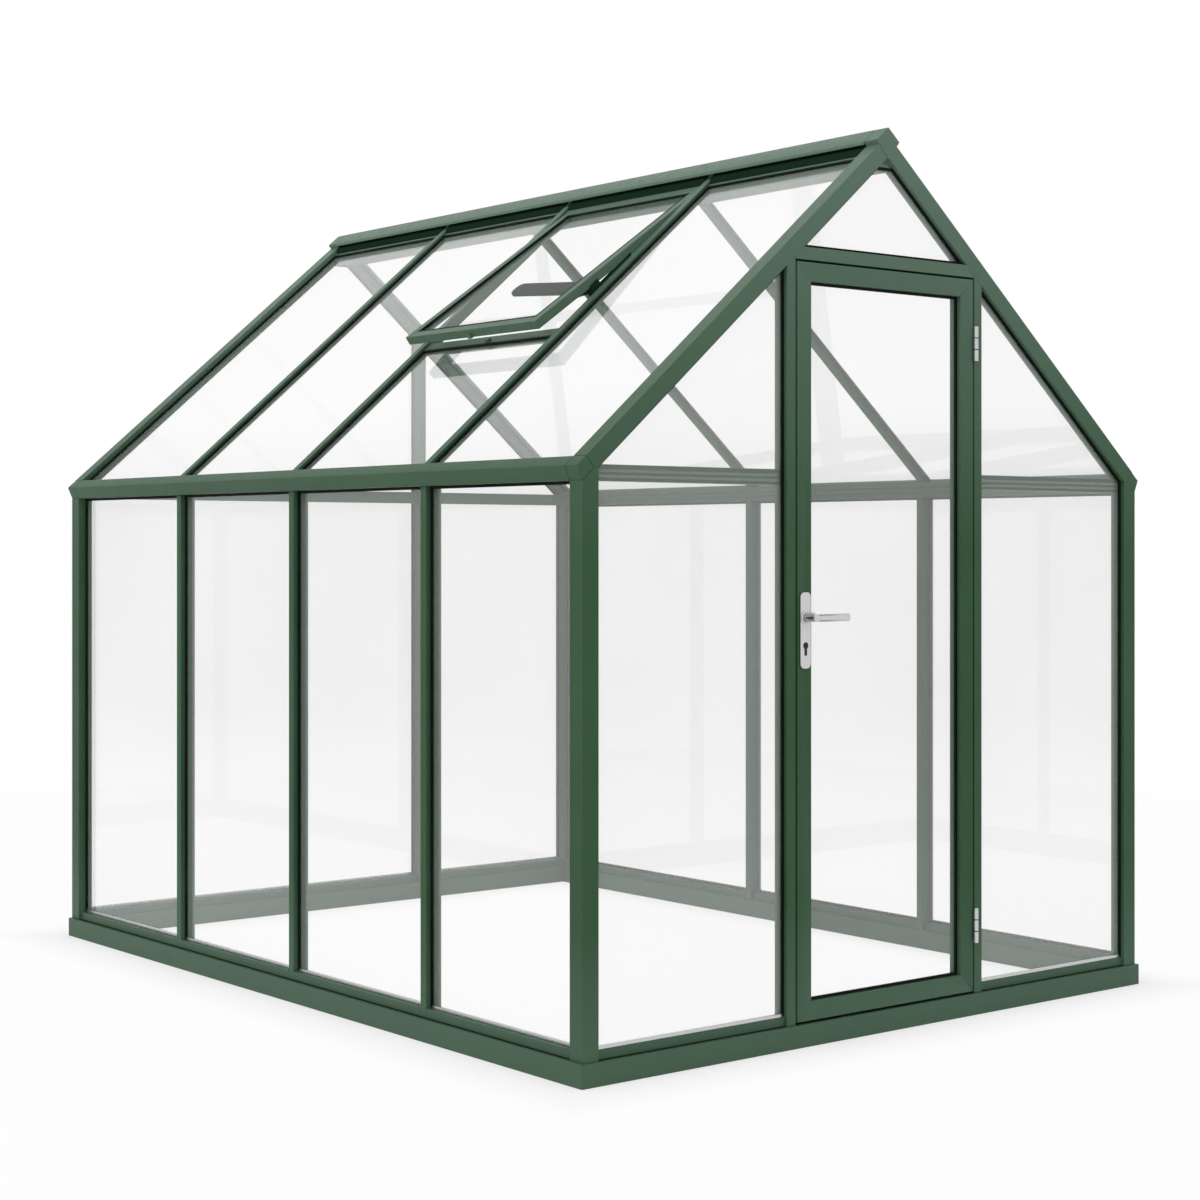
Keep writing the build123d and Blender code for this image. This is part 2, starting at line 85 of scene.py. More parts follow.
def addRange(tree, value, low, high, fromLow=0.3, fromHigh=0.7):
    span = tree.nodes.new("ShaderNodeMapRange")
    tree.links.new(value, span.inputs["Value"])
    span.inputs["From Min"].default_value = fromLow
    span.inputs["From Max"].default_value = fromHigh
    for label, end in (("To Min", low), ("To Max", high)):
        if isinstance(end, float):
            span.inputs[label].default_value = end
        else:
            tree.links.new(end, span.inputs[label])
    return span.outputs["Result"]


def addMix(tree, fac, first, second):
    mix = tree.nodes.new("ShaderNodeMix")
    mix.data_type = "RGBA"
    tree.links.new(fac, mix.inputs["Factor"])
    tree.links.new(first, mix.inputs["A"])
    tree.links.new(second, mix.inputs["B"])
    return mix.outputs["Result"]


def addHeight(tree, vector):
    split = tree.nodes.new("ShaderNodeSeparateXYZ")
    tree.links.new(vector, split.inputs["Vector"])
    return split.outputs["Z"]


def addMath(tree, operation, *values):
    node = tree.nodes.new("ShaderNodeMath")
    node.operation = operation
    for socket, value in zip(node.inputs, values):
        tree.links.new(value, socket)
    return node.outputs[0]


# noise scales of the powder coat, and the heights in metres between which painted light pales it
coat = {"driftScale": 3.1, "driftDetail": 3.0, "cloudScale": 46.0, "skinDetail": 1.0,
        "wallTop": 1.2, "roofTop": 2.2, "footLow": 0.05, "footHigh": 0.35}


def makeCoatGrainAndLight():
    # slow tone drift and orange peel skin, with painted light by height
    tree, source, result = newGroup("coatGrainAndLight", [
        ("Vector", "NodeSocketVector"),
        ("Tone", "NodeSocketColor"),
        ("Drift", "NodeSocketColor"),
        ("Low Roughness", "NodeSocketFloat"),
        ("High Roughness", "NodeSocketFloat"),
        ("Skin Scale", "NodeSocketFloat"),
        ("Lit Pale", "NodeSocketColor"),
        ("Roof Light Share", "NodeSocketFloat"),
        ("Floor Bounce Share", "NodeSocketFloat"),
    ], [("Color", "NodeSocketColor"), ("Roughness", "NodeSocketFloat"), ("Height", "NodeSocketFloat")])
    vector = source.outputs["Vector"]
    slow = addNoise(tree, vector, coat["driftScale"], coat["driftDetail"])
    cloud = addNoise(tree, vector, coat["cloudScale"])
    skin = addNoise(tree, vector, source.outputs["Skin Scale"], coat["skinDetail"])
    drift = addRange(tree, slow, 0.0, 1.0)
    tone = addMix(tree, drift, source.outputs["Tone"], source.outputs["Drift"])
    # painted light: paler toward the roof, where the members look lighter in the light from above, and
    # near the ground, where the floor bounces light
    height = addHeight(tree, vector)
    rise = addRange(tree, height, 0.0, source.outputs["Roof Light Share"], coat["wallTop"], coat["roofTop"])
    tone = addMix(tree, rise, tone, source.outputs["Lit Pale"])
    foot = addRange(tree, height, source.outputs["Floor Bounce Share"], 0.0, coat["footLow"], coat["footHigh"])
    tone = addMix(tree, foot, tone, source.outputs["Lit Pale"])
    rough = addRange(tree, cloud, source.outputs["Low Roughness"], source.outputs["High Roughness"])
    tree.links.new(tone, result.inputs["Color"])
    tree.links.new(rough, result.inputs["Roughness"])
    tree.links.new(skin, result.inputs["Height"])
    return tree


# noise scales of the satin metal and how its gloss varies
brush = {"lineScale": 1600.0, "lineDetail": 3.0, "smudgeScale": 60.0, "smooth": 0.24, "rough": 0.36}


def makeBrushGrain():
    # fine lines along one axis
    tree, source, result = newGroup("brushGrain", [
        ("Vector", "NodeSocketVector"),
        ("Tone", "NodeSocketColor"),
        ("Drift", "NodeSocketColor"),
        ("Stretch", "NodeSocketVector"),
    ], [("Color", "NodeSocketColor"), ("Roughness", "NodeSocketFloat"), ("Height", "NodeSocketFloat")])
    stretch = tree.nodes.new("ShaderNodeVectorMath")
    stretch.operation = "MULTIPLY"
    tree.links.new(source.outputs["Vector"], stretch.inputs[0])
    tree.links.new(source.outputs["Stretch"], stretch.inputs[1])
    lines = addNoise(tree, stretch.outputs["Vector"], brush["lineScale"], brush["lineDetail"])
    smudge = addNoise(tree, source.outputs["Vector"], brush["smudgeScale"])
    tone = addMix(tree, addRange(tree, lines, 0.0, 1.0), source.outputs["Tone"], source.outputs["Drift"])
    tree.links.new(tone, result.inputs["Color"])
    tree.links.new(addRange(tree, smudge, brush["smooth"], brush["rough"]), result.inputs["Roughness"])
    tree.links.new(lines, result.inputs["Height"])
    return tree


# noise scales of the panes, and the heights in metres between which their film, partly dust and partly
# painted reflection, comes and goes
filmAndReflection = {"cloudScale": 1.7, "waveScale": 3.4, "waveDetail": 0.0, "thinnest": 0.6,
        "foot": 0.4, "full": 0.75, "eaves": 1.3, "roof": 1.6}


def makeGlassFilmAndReflection():
    # faint film on the panes, partly dust and partly painted reflection, and the slow wave of drawn sheet
    tree, source, result = newGroup("glassFilmAndReflection", [
        ("Vector", "NodeSocketVector"),
        ("Clear", "NodeSocketColor"),
        ("Film And Reflection", "NodeSocketColor"),
    ], [("Color", "NodeSocketColor"), ("Height", "NodeSocketFloat")])
    vector = source.outputs["Vector"]
    cloud = addNoise(tree, vector, filmAndReflection["cloudScale"])
    wave = addNoise(tree, vector, filmAndReflection["waveScale"], filmAndReflection["waveDetail"])
    # painted reflection: thickest at the height of the upper wall panes, which mirror a greyer backdrop,
    # and clear near the ground and on the roof
    height = addHeight(tree, vector)
    rise = addRange(tree, height, 0.0, 1.0, filmAndReflection["foot"], filmAndReflection["full"])
    fall = addRange(tree, height, 1.0, 0.0, filmAndReflection["eaves"], filmAndReflection["roof"])
    cloudy = addRange(tree, cloud, filmAndReflection["thinnest"], 1.0)
    share = addMath(tree, "MULTIPLY", addMath(tree, "MULTIPLY", rise, fall), cloudy)
    tint = addMix(tree, share, source.outputs["Clear"], source.outputs["Film And Reflection"])
    tree.links.new(tint, result.inputs["Color"])
    tree.links.new(wave, result.inputs["Height"])
    return tree


groups = {"coat": makeCoatGrainAndLight(), "brush": makeBrushGrain(), "filmAndReflection": makeGlassFilmAndReflection()}
print("shader groups made")


# finishes

def startMaterial(name):
    material = bpy.data.materials.new(name)
    material.use_nodes = True
    tree = material.node_tree
    shader = tree.nodes["Principled BSDF"]
    place = tree.nodes.new("ShaderNodeTexCoord")
    return material, tree, shader, place.outputs["Object"]


def placeGroup(tree, key, vector, values):
    group = tree.nodes.new("ShaderNodeGroup")
    group.node_tree = groups[key]
    tree.links.new(vector, group.inputs["Vector"])
    for label, value in values.items():
        group.inputs[label].default_value = value
    return group


def addBump(tree, shader, height, strength, distance):
    bump = tree.nodes.new("ShaderNodeBump")
    bump.inputs["Strength"].default_value = strength
    bump.inputs["Distance"].default_value = distance
    tree.links.new(height, bump.inputs["Height"])
    tree.links.new(bump.outputs["Normal"], shader.inputs["Normal"])


def coatFinish(name, look):
    material, tree, shader, vector = startMaterial(name)
    group = placeGroup(tree, "coat", vector, {
        "Tone": look["tone"],
        "Drift": look["drift"],
        "Low Roughness": look["smooth"],
        "High Roughness": look["rough"],
        "Skin Scale": look["skin"],
        "Lit Pale": look["litPale"],
        "Roof Light Share": look["roofLightShare"],
        "Floor Bounce Share": look["floorBounceShare"],
    })
    shader.inputs["Specular IOR Level"].default_value = look["gloss"]
    tree.links.new(group.outputs["Color"], shader.inputs["Base Color"])
    tree.links.new(group.outputs["Roughness"], shader.inputs["Roughness"])
    addBump(tree, shader, group.outputs["Height"], look["bump"], look["depth"])
    return material


def steelFinish(name, look):
    material, tree, shader, vector = startMaterial(name)
    group = placeGroup(tree, "brush", vector, {
        "Tone": look["tone"],
        "Drift": look["drift"],
        "Stretch": look["stretch"],
    })
    shader.inputs["Metallic"].default_value = 1.0
    tree.links.new(group.outputs["Color"], shader.inputs["Base Color"])
    tree.links.new(group.outputs["Roughness"], shader.inputs["Roughness"])
    addBump(tree, shader, group.outputs["Height"], look["bump"], look["depth"])
    return material


def glassFinish(name, look):
    material, tree, shader, vector = startMaterial(name)
    group = placeGroup(tree, "filmAndReflection", vector, {"Clear": look["clear"], "Film And Reflection": look["filmAndReflection"]})
    shader.inputs["Metallic"].default_value = 0.0
    shader.inputs["Transmission Weight"].default_value = look["through"]
    shader.inputs["Roughness"].default_value = look["roughness"]
    shader.inputs["IOR"].default_value = look["ior"]
    tree.links.new(group.outputs["Color"], shader.inputs["Base Color"])
    addBump(tree, shader, group.outputs["Height"], look["bump"], look["depth"])
    # daylight passes straight through to what stands inside
    path = tree.nodes.new("ShaderNodeLightPath")
    either = addMath(tree, "MAXIMUM", path.outputs["Is Shadow Ray"], path.outputs["Is Diffuse Ray"])
    clear = tree.nodes.new("ShaderNodeBsdfTransparent")
    clear.inputs["Color"].default_value = look["shade"]
    blend = tree.nodes.new("ShaderNodeMixShader")
    tree.links.new(either, blend.inputs["Fac"])
    tree.links.new(shader.outputs["BSDF"], blend.inputs[1])
    tree.links.new(clear.outputs["BSDF"], blend.inputs[2])
    tree.links.new(blend.outputs["Shader"], tree.nodes["Material Output"].inputs["Surface"])
    return material


# the share of each pane that light does not pass through is a white haze, partly dust and partly painted
# reflection; the front gable panes carry more of it, the vent pane mirrors less
pane = {"clear": srgb(255, 255, 255), "filmAndReflection": srgb(248, 248, 248), "roughness": 0.0, "ior": 1.38,
        "through": 0.945, "bump": 0.02, "depth": 2 * mm, "shade": (0.996, 0.996, 0.996, 1.0)}

# the pale colour and its shares in each coat are painted light, paler toward the roof and near the ground
finishes = {
    "frame_green": coatFinish("greenCoat", {
        "tone": srgb(52, 84, 57), "drift": srgb(57, 89, 62), "smooth": 0.34, "rough": 0.44, "gloss": 0.12,
        "litPale": srgb(98, 122, 106), "roofLightShare": 0.95, "floorBounceShare": 0.42,
        "skin": 800.0, "bump": 0.12, "depth": 0.3 * mm}),
    "opener_green": coatFinish("darkGreenCoat", {
        "tone": srgb(26, 44, 32), "drift": srgb(31, 50, 37), "smooth": 0.6, "rough": 0.7, "gloss": 0.0,
        "litPale": srgb(34, 52, 40), "roofLightShare": 0.3, "floorBounceShare": 0.0,
        "skin": 800.0, "bump": 0.12, "depth": 0.3 * mm}),
    "seal": coatFinish("blackRubber", {
        "tone": srgb(12, 15, 13), "drift": srgb(20, 24, 21), "smooth": 0.55, "rough": 0.7, "gloss": 0.1,
        "litPale": srgb(22, 25, 23), "roofLightShare": 0.3, "floorBounceShare": 0.0,
        "skin": 500.0, "bump": 0.2, "depth": 0.3 * mm}),
    "glass": glassFinish("clearPane", pane),
    "front_gable_glass": glassFinish("gablePane", {**pane, "filmAndReflection": srgb(249, 249, 249), "through": 0.915}),
    "vent_glass": glassFinish("clearVentPane", {
        **pane, "clear": srgb(254, 254, 254), "ior": 1.06, "through": 0.99}),
    "handle_steel": steelFinish("satinHandle", {
        "tone": srgb(196, 196, 196), "drift": srgb(210, 210, 209), "stretch": (1.0, 1.0, 0.03),
        "bump": 0.1, "depth": 0.05 * mm}),
    "hinge_steel": steelFinish("satinHinge", {
        "tone": srgb(190, 192, 192), "drift": srgb(206, 208, 208), "stretch": (1.0, 1.0, 0.05),
        "bump": 0.1, "depth": 0.05 * mm}),
    "lock_metal": steelFinish("darkLock", {
        "tone": srgb(52, 52, 53), "drift": srgb(66, 66, 66), "stretch": (1.0, 0.05, 1.0),
        "bump": 0.1, "depth": 0.05 * mm}),
}
print("finishes made")


# pieces

slotOf = {row["node"]: row["material_slot"] for row in frame["record"]["subparts"]}
bodyOf = {}
for bodyName, carried in frame["record"]["behaviour"]["bodies"].items():
    for nodeName in carried:
        bodyOf[nodeName] = bodyName

# what counts as one point, as one flat face and as a corner
weld = {"distance": 0.01 * mm, "flat": math.radians(0.5), "crease": math.radians(25)}


def solidCopy(nodeName):
    # welded copy of a node with its flat faces whole
    mesh = bmesh.new()
    mesh.from_mesh(nodes[nodeName].data)
    bmesh.ops.remove_doubles(mesh, verts=mesh.verts, dist=weld["distance"])
    bmesh.ops.dissolve_limit(mesh, angle_limit=weld["flat"], verts=mesh.verts, edges=mesh.edges)
    return mesh


def addPiece(name, mesh, finish, body, replaced=()):
    data = bpy.data.meshes.new(name)
    mesh.normal_update()
    mesh.to_mesh(data)
    mesh.free()
    for face in data.polygons:
        face.use_smooth = True
    data.set_sharp_from_angle(angle=weld["crease"])
    piece = bpy.data.objects.new(name, data)
    bpy.context.scene.collection.objects.link(piece)
    data.materials.append(finish)
    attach(piece, body)
    for nodeName in replaced:
        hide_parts(nodeName)


def easeEdges(mesh, width, segments=1):
    creases = [e for e in mesh.edges if e.is_manifold and e.calc_face_angle() > weld["crease"]]
    bmesh.ops.bevel(mesh, geom=creases, offset=width, offset_type="OFFSET", segments=segments,
                    profile=0.5, affect="EDGES", clamp_overlap=True, material=-1)


def liftRing(mesh, lift):
    # flat ring to a closed strip
    lifted = bmesh.ops.extrude_face_region(mesh, geom=mesh.faces[:], use_keep_orig=True)
    top = [v for v in lifted["geom"] if isinstance(v, bmesh.types.BMVert)]
    bmesh.ops.translate(mesh, verts=top, vec=lift)
    bmesh.ops.recalc_face_normals(mesh, faces=mesh.faces)


def addBlock(mesh, first, second):
    first = Vector(first)
    second = Vector(second)
    size = second - first
    stretch = Matrix.Diagonal((abs(size.x), abs(size.y), abs(size.z), 1.0))
    place = Matrix.Translation((first + second) / 2) @ stretch
    bmesh.ops.create_cube(mesh, size=1.0, matrix=place)


# easing of the members and fittings, millimetres
members = {
    "base_end_rails": 1.5, "base_side_rails": 1.5,
    "corner_posts": 1.2, "eaves_end_blocks": 2.4,
    "left_eaves_rail": 1.2, "right_eaves_rail": 1.2,
    "left_cill_rails": 1.2, "right_cill_rails": 1.2, "front_cill_rails": 1.2, "back_cill_rails": 1.2,
    "left_wall_bars": 1.2, "right_wall_bars": 1.2, "back_wall_bar": 1.2,
    "front_transoms": 1.0, "back_transoms": 1.0,
    "gable_rafters": 1.6, "ridge_beam": 1.2, "ridge_end_blocks": 2.4,
    "left_roof_bars": 1.2, "right_roof_bars": 1.2,
    "vent_cill": 1.0, "vent_stiles": 1.2, "vent_rails": 1.2, "vent_catches": 1.0, "vent_opener": 1.5,
    "door_jambs": 1.2, "door_head": 1.2,
    "door_hinge_stile": 1.2, "door_lock_stile": 1.2, "door_top_rail": 1.2, "door_bottom_rail": 1.2,
    "frame_hinge_leaves": 0.8, "door_hinge_leaves": 0.8,
    "handle_plates": 1.6, "door_lever": 0.0, "lock_cylinder": 0.4,
}

for nodeName, ease in members.items():
    mesh = solidCopy(nodeName)
    if ease:
        easeEdges(mesh, ease * mm, segments=2)
    slot = slotOf[nodeName]
    addPiece(nodeName + "_eased", mesh, finishes[slot], bodyOf[nodeName], (nodeName,))
print("members eased,", len(members))

for nodeName, slot in slotOf.items():
    if slot == "glass":
        data = nodes[nodeName].data
        data.materials.clear()
        data.materials.append(finishes.get(nodeName, finishes["glass"]))
print("panes finished")


# how panes and their edges are told apart, metres, square metres and rise per metre
paneRule = {"broadArea": 0.02, "shortSlope": 0.8, "footLevel": 0.2, "levelRise": 0.1,
            "heart": (0.0, 0.0, 1.0)}

# glazing strips on the outer face of every pane, millimetres
strip = {"width": 7.0, "thick": 6.0, "ease": 0.8, "seat": 8.0, "cillSeat": 10.0, "eavesSeat": 10.0,
         "ridgeCover": 18.4}


def edgeCover(nodeName, middle, centre, direction, slope):
    # how much of the pane the frame covers along one edge
    level = abs(direction.z) < paneRule["levelRise"]
    if nodeName.endswith("wall_glass") and level:
        return strip["eavesSeat"] if middle.z > centre.z else strip["cillSeat"]
    if nodeName.endswith("gable_glass") and level and middle.z < paneRule["footLevel"]:
        return strip["cillSeat"]
    if nodeName.endswith("roof_glass") and level:
        if middle.z < centre.z:
            return 0.0
        return strip["seat"] if slope < paneRule["shortSlope"] else strip["ridgeCover"]
    return strip["seat"]


def stripRing(nodeName, face):
    corners = [v.co.copy() for v in face.verts]
    normal = face.normal.copy()
    centre = face.calc_center_median()
    slope = max((a - b).length for a in corners for b in corners if abs(a.y - b.y) < mm)
    ring = bmesh.new()
    ring.faces.new([ring.verts.new(c) for c in corners])
    for first, second in zip(corners, corners[1:] + corners[:1]):
        along = (second - first).normalized()
        inward = normal.cross(along)
        cover = edgeCover(nodeName, (first + second) / 2, centre, along, slope) * mm
        if cover:
            bmesh.ops.bisect_plane(ring, geom=ring.verts[:] + ring.edges[:] + ring.faces[:],
                                   dist=weld["distance"], plane_co=first + inward * cover,
                                   plane_no=-inward, clear_outer=True)
    ring.faces.ensure_lookup_table()
    middle = ring.faces[0]
    bmesh.ops.inset_region(ring, faces=[middle], thickness=strip["width"] * mm,
                           use_even_offset=True, use_boundary=True)
    spare = [middle]
    if nodeName.endswith(("wall_glass", "gable_glass")):
        # the glass stands bare on its cill
        low = [f for f in ring.faces if f.calc_center_median().z < paneRule["footLevel"]]
        spare += [f for f in low if f is not middle]
    bmesh.ops.delete(ring, geom=spare, context="FACES_ONLY")
    liftRing(ring, normal * strip["thick"] * mm)
    return ring


def glazingStrips(nodeName):
    panes = solidCopy(nodeName)
    heart = Vector(paneRule["heart"])
    joined = bmesh.new()
    for face in panes.faces:
        if face.calc_area() < paneRule["broadArea"]:
            continue
        if face.normal.dot(face.calc_center_median() - heart) < 0:
            continue  # faces inward
        ring = stripRing(nodeName, face)
        easeEdges(ring, strip["ease"] * mm)
        part = bpy.data.meshes.new("ring")
        ring.to_mesh(part)
        ring.free()
        joined.from_mesh(part)
        bpy.data.meshes.remove(part)
    panes.free()
    addPiece(nodeName + "_strips", joined, finishes["seal"], bodyOf[nodeName])


for nodeName, slot in slotOf.items():
    if slot == "glass":
        glazingStrips(nodeName)
print("glazing strips set")


# dark strip between the base and what stands on it, a ring along the ledge standing in for the shadow gap
# there: painted shade, millimetres
footShadeStrip = {"inset": 10.0, "width": 7.0, "thick": 1.2, "ease": 0.4}


def makeFootShadeStrip():
    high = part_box("base_end_rails")[1]
    mesh = bmesh.new()
    bmesh.ops.create_grid(mesh, x_segments=1, y_segments=1, size=1.0)
    half = Vector((high.x - footShadeStrip["inset"] * mm, high.y - footShadeStrip["inset"] * mm, 1.0))
    bmesh.ops.scale(mesh, vec=half, verts=mesh.verts)
    bmesh.ops.translate(mesh, vec=(0, 0, high.z), verts=mesh.verts)
    middle = mesh.faces[:]
    bmesh.ops.inset_region(mesh, faces=middle, thickness=footShadeStrip["width"] * mm,
                           use_even_offset=True, use_boundary=True)
    bmesh.ops.delete(mesh, geom=middle, context="FACES_ONLY")
    liftRing(mesh, Vector((0, 0, footShadeStrip["thick"] * mm)))
    easeEdges(mesh, footShadeStrip["ease"] * mm)
    addPiece("foot_shade_strip", mesh, finishes["seal"], "frame")


# stop seal behind the door leaf, on the frame, millimetres
doorSeal = {"gap": 5.2, "lap": 4.0, "clear": 0.6, "thick": 5.2, "ease": 0.8}


def makeDoorSeal():
    leafLow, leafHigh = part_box("door_hinge_stile")
    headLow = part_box("door_head")[0].z
    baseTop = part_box("base_end_rails")[1].z
    leafHalf = leafHigh.x
    jambHalf = leafHalf + doorSeal["gap"] * mm
    y0 = leafHigh.y + doorSeal["clear"] * mm
    y1 = y0 + doorSeal["thick"] * mm
    lap = doorSeal["lap"] * mm
    mesh = bmesh.new()
    for side in (-1, 1):
        addBlock(mesh, (side * (leafHalf - lap), y0, baseTop), (side * jambHalf, y1, headLow))
    addBlock(mesh, (-leafHalf + lap, y0, leafHigh.z - lap), (leafHalf - lap, y1, headLow))
    addBlock(mesh, (-leafHalf + lap, y0, baseTop), (leafHalf - lap, y1, leafLow.z + lap))
    easeEdges(mesh, doorSeal["ease"] * mm)
    addPiece("door_stop_seal", mesh, finishes["seal"], "frame")


def islandBoxes(nodeName):
    # box of each solid of a node
    mesh = solidCopy(nodeName)
    left = set(mesh.verts)
    boxes = []
    while left:
        grown = [left.pop()]
        island = list(grown)
        while grown:
            for edge in grown.pop().link_edges:
                for vert in edge.verts:
                    if vert in left:
                        left.remove(vert)
                        grown.append(vert)
                        island.append(vert)
        low = Vector([min(v.co[i] for v in island) for i in range(3)])
        high = Vector([max(v.co[i] for v in island) for i in range(3)])
        boxes.append((low, high))
    mesh.free()
    return sorted(boxes, key=lambda box: (box[0].y, box[0].x))


# bright steel beads along the foot of the wall and gable panes, standing in for the highlight along the
# cill tops: painted highlight, millimetres
cillHighlight = {"tall": 9.0, "thick": 5.0, "ease": 1.0}


def makeCillHighlights(nodeName):
    seat = strip["seat"] * mm
    mesh = bmesh.new()
    for low, high in islandBoxes(nodeName):
        if low.z > paneRule["footLevel"]:
            continue
        foot = low.z + strip["cillSeat"] * mm
        top = foot + cillHighlight["tall"] * mm
        if nodeName.endswith("wall_glass"):
            face = high.x if high.x > 0 else low.x
            out = math.copysign(cillHighlight["thick"] * mm, face)
            addBlock(mesh, (face, low.y + seat, foot), (face + out, high.y - seat, top))
        else:
            face = high.y if high.y > 0 else low.y
            out = math.copysign(cillHighlight["thick"] * mm, face)
            addBlock(mesh, (low.x + seat, face, foot), (high.x - seat, face + out, top))
    easeEdges(mesh, cillHighlight["ease"] * mm)
    addPiece(nodeName + "_cill_highlights", mesh, finishes["hinge_steel"], bodyOf[nodeName])


# dark filler in the ridge recess, over the glass and under the cap, partly a seal and partly painted shade
# under the cap's overhang, millimetres and the rise of the pitch
ridgeSealShade = {"inner": 20.3, "outer": 36.0, "tall": 16.0, "recessFloor": 54.5, "pitchRise": 0.8564}


def makeRidgeSealShade():
    low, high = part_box("ridge_beam")
    inner = ridgeSealShade["inner"] * mm
    outer = ridgeSealShade["outer"] * mm
    tall = ridgeSealShade["tall"] * mm
    floorInner = high.z - ridgeSealShade["recessFloor"] * mm
    floorOuter = floorInner - (outer - inner) * ridgeSealShade["pitchRise"]
    section = [(inner, floorInner), (outer, floorOuter),
               (outer, floorOuter + tall), (inner, floorInner + tall)]
    mesh = bmesh.new()
    for side, barNode in ((-1, "left_roof_bars"), (1, "right_roof_bars")):
        # one length between each pair of bars
        edges = [low.y] + [end.y for box in islandBoxes(barNode) for end in box] + [high.y]
        for y0, y1 in zip(edges[::2], edges[1::2]):
            face = mesh.faces.new([mesh.verts.new((side * x, y0, z)) for x, z in section])
            pushed = bmesh.ops.extrude_face_region(mesh, geom=[face], use_keep_orig=True)
            moved = [v for v in pushed["geom"] if isinstance(v, bmesh.types.BMVert)]
            bmesh.ops.translate(mesh, verts=moved, vec=(0, y1 - y0, 0))
    bmesh.ops.recalc_face_normals(mesh, faces=mesh.faces)
    addPiece("ridge_seal_shade", mesh, finishes["opener_green"], "frame")


for nodeName in ("left_wall_glass", "right_wall_glass", "front_gable_glass", "back_gable_glass"):
    makeCillHighlights(nodeName)
makeFootShadeStrip()
makeDoorSeal()
makeRidgeSealShade()
print("beads and seals set")


# rose rings round the lever necks, millimetres
rose = {"outer": 14.5, "inner": 9.6, "proud": 3.2, "step": 1.2, "round": 0.8, "turns": 48}


def makeRoses():
    plateLow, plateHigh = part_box("handle_plates")
    leverLow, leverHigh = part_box("door_lever")
    centreX = (plateLow.x + plateHigh.x) / 2
    centreZ = (leverLow.z + leverHigh.z) / 2
    steps = [(rose["inner"], 0.0), (rose["inner"], rose["proud"] - rose["round"]),
             (rose["inner"] + rose["round"], rose["proud"]), (rose["outer"] - rose["step"], rose["proud"]),
             (rose["outer"], rose["proud"] - rose["step"]), (rose["outer"], 0.0)]
    mesh = bmesh.new()
    for faceY, out in ((plateLow.y, -1), (plateHigh.y, 1)):
        spots = [mesh.verts.new((centreX + r * mm, faceY + out * p * mm, centreZ)) for r, p in steps]
        edges = [mesh.edges.new(pair) for pair in zip(spots, spots[1:] + spots[:1])]
        bmesh.ops.spin(mesh, geom=spots + edges, cent=(centreX, faceY, centreZ), axis=(0, 1, 0),
                       angle=math.tau, steps=rose["turns"], use_merge=True)
    bmesh.ops.recalc_face_normals(mesh, faces=mesh.faces)
    addPiece("lever_roses", mesh, finishes["handle_steel"], "door")


# black blocks on the lock faces standing in for the shade inside the key slots: painted shade, millimetres
keywayShade = {"width": 2.2, "tall": 9.0, "proud": 0.15, "deep": 1.0}


def makeKeywayShades():
    low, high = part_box("lock_cylinder")
    centreX = (low.x + high.x) / 2
    centreZ = high.z - (high.x - low.x) / 2
    halfWidth = keywayShade["width"] * mm / 2
    halfTall = keywayShade["tall"] * mm / 2
    mesh = bmesh.new()
    for faceY, out in ((low.y, -1), (high.y, 1)):
        front = faceY + out * keywayShade["proud"] * mm
        back = faceY - out * keywayShade["deep"] * mm
        addBlock(mesh, (centreX - halfWidth, front, centreZ - halfTall),
                 (centreX + halfWidth, back, centreZ + halfTall))
    addPiece("keyway_shades", mesh, finishes["seal"], "door")


# nylon washers between the hinge knuckles, millimetres
washer = {"radius": 7.0, "tall": 2.4, "ease": 0.5, "turns": 32, "places": (1 / 3, 2 / 3)}


def hingeSpans():
    # lowest and highest point of each of the two hinges
    heights = sorted(v.co.z for v in nodes["frame_hinge_leaves"].data.vertices)
    gap = max(range(1, len(heights)), key=lambda i: heights[i] - heights[i - 1])
    return [(heights[0], heights[gap - 1]), (heights[gap], heights[-1])]


def makeWashers():
    pinX, pinY, _ = frame["record"]["behaviour"]["joints"][0]["pos_m"]
    radius = washer["radius"] * mm
    mesh = bmesh.new()
    for low, high in hingeSpans():
        for share in washer["places"]:
            place = Matrix.Translation((pinX, pinY, low + (high - low) * share))
            bmesh.ops.create_cone(mesh, cap_ends=True, segments=washer["turns"], radius1=radius,
                                  radius2=radius, depth=washer["tall"] * mm, matrix=place)
    easeEdges(mesh, washer["ease"] * mm)
    addPiece("hinge_washers", mesh, finishes["seal"], "frame")


makeRoses()
makeKeywayShades()
makeWashers()
print("handle and hinge details set")


# floor, light and camera

# metres, and how much of the floor shows plain white beside the base and further off
stage = {"half": 60.0, "albedo": (0.93, 0.93, 0.93, 1.0),
         "foot": 0.58, "white": 0.93, "reach": 0.2, "far": 4.0}


def baseGap(tree):
    # how far a spot on the floor lies from the outline of the base
    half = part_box("base_end_rails")[1]
    place = tree.nodes.new("ShaderNodeTexCoord")
    across = tree.nodes.new("ShaderNodeVectorMath")
    across.operation = "ABSOLUTE"
    tree.links.new(place.outputs["Object"], across.inputs[0])
    beyond = tree.nodes.new("ShaderNodeVectorMath")
    beyond.operation = "SUBTRACT"
    tree.links.new(across.outputs["Vector"], beyond.inputs[0])
    beyond.inputs[1].default_value = (half.x, half.y, 0.0)
    split = tree.nodes.new("ShaderNodeSeparateXYZ")
    tree.links.new(beyond.outputs["Vector"], split.inputs["Vector"])
    return addMath(tree, "ABSOLUTE", addMath(tree, "MAXIMUM", split.outputs["X"], split.outputs["Y"]))


def seenRays(tree):
    # one for what the eye, a gloss or a pane looks at
    path = tree.nodes.new("ShaderNodeLightPath")
    eyeOrGloss = addMath(tree, "MAXIMUM", path.outputs["Is Camera Ray"], path.outputs["Is Glossy Ray"])
    return addMath(tree, "MAXIMUM", eyeOrGloss, path.outputs["Is Transmission Ray"])


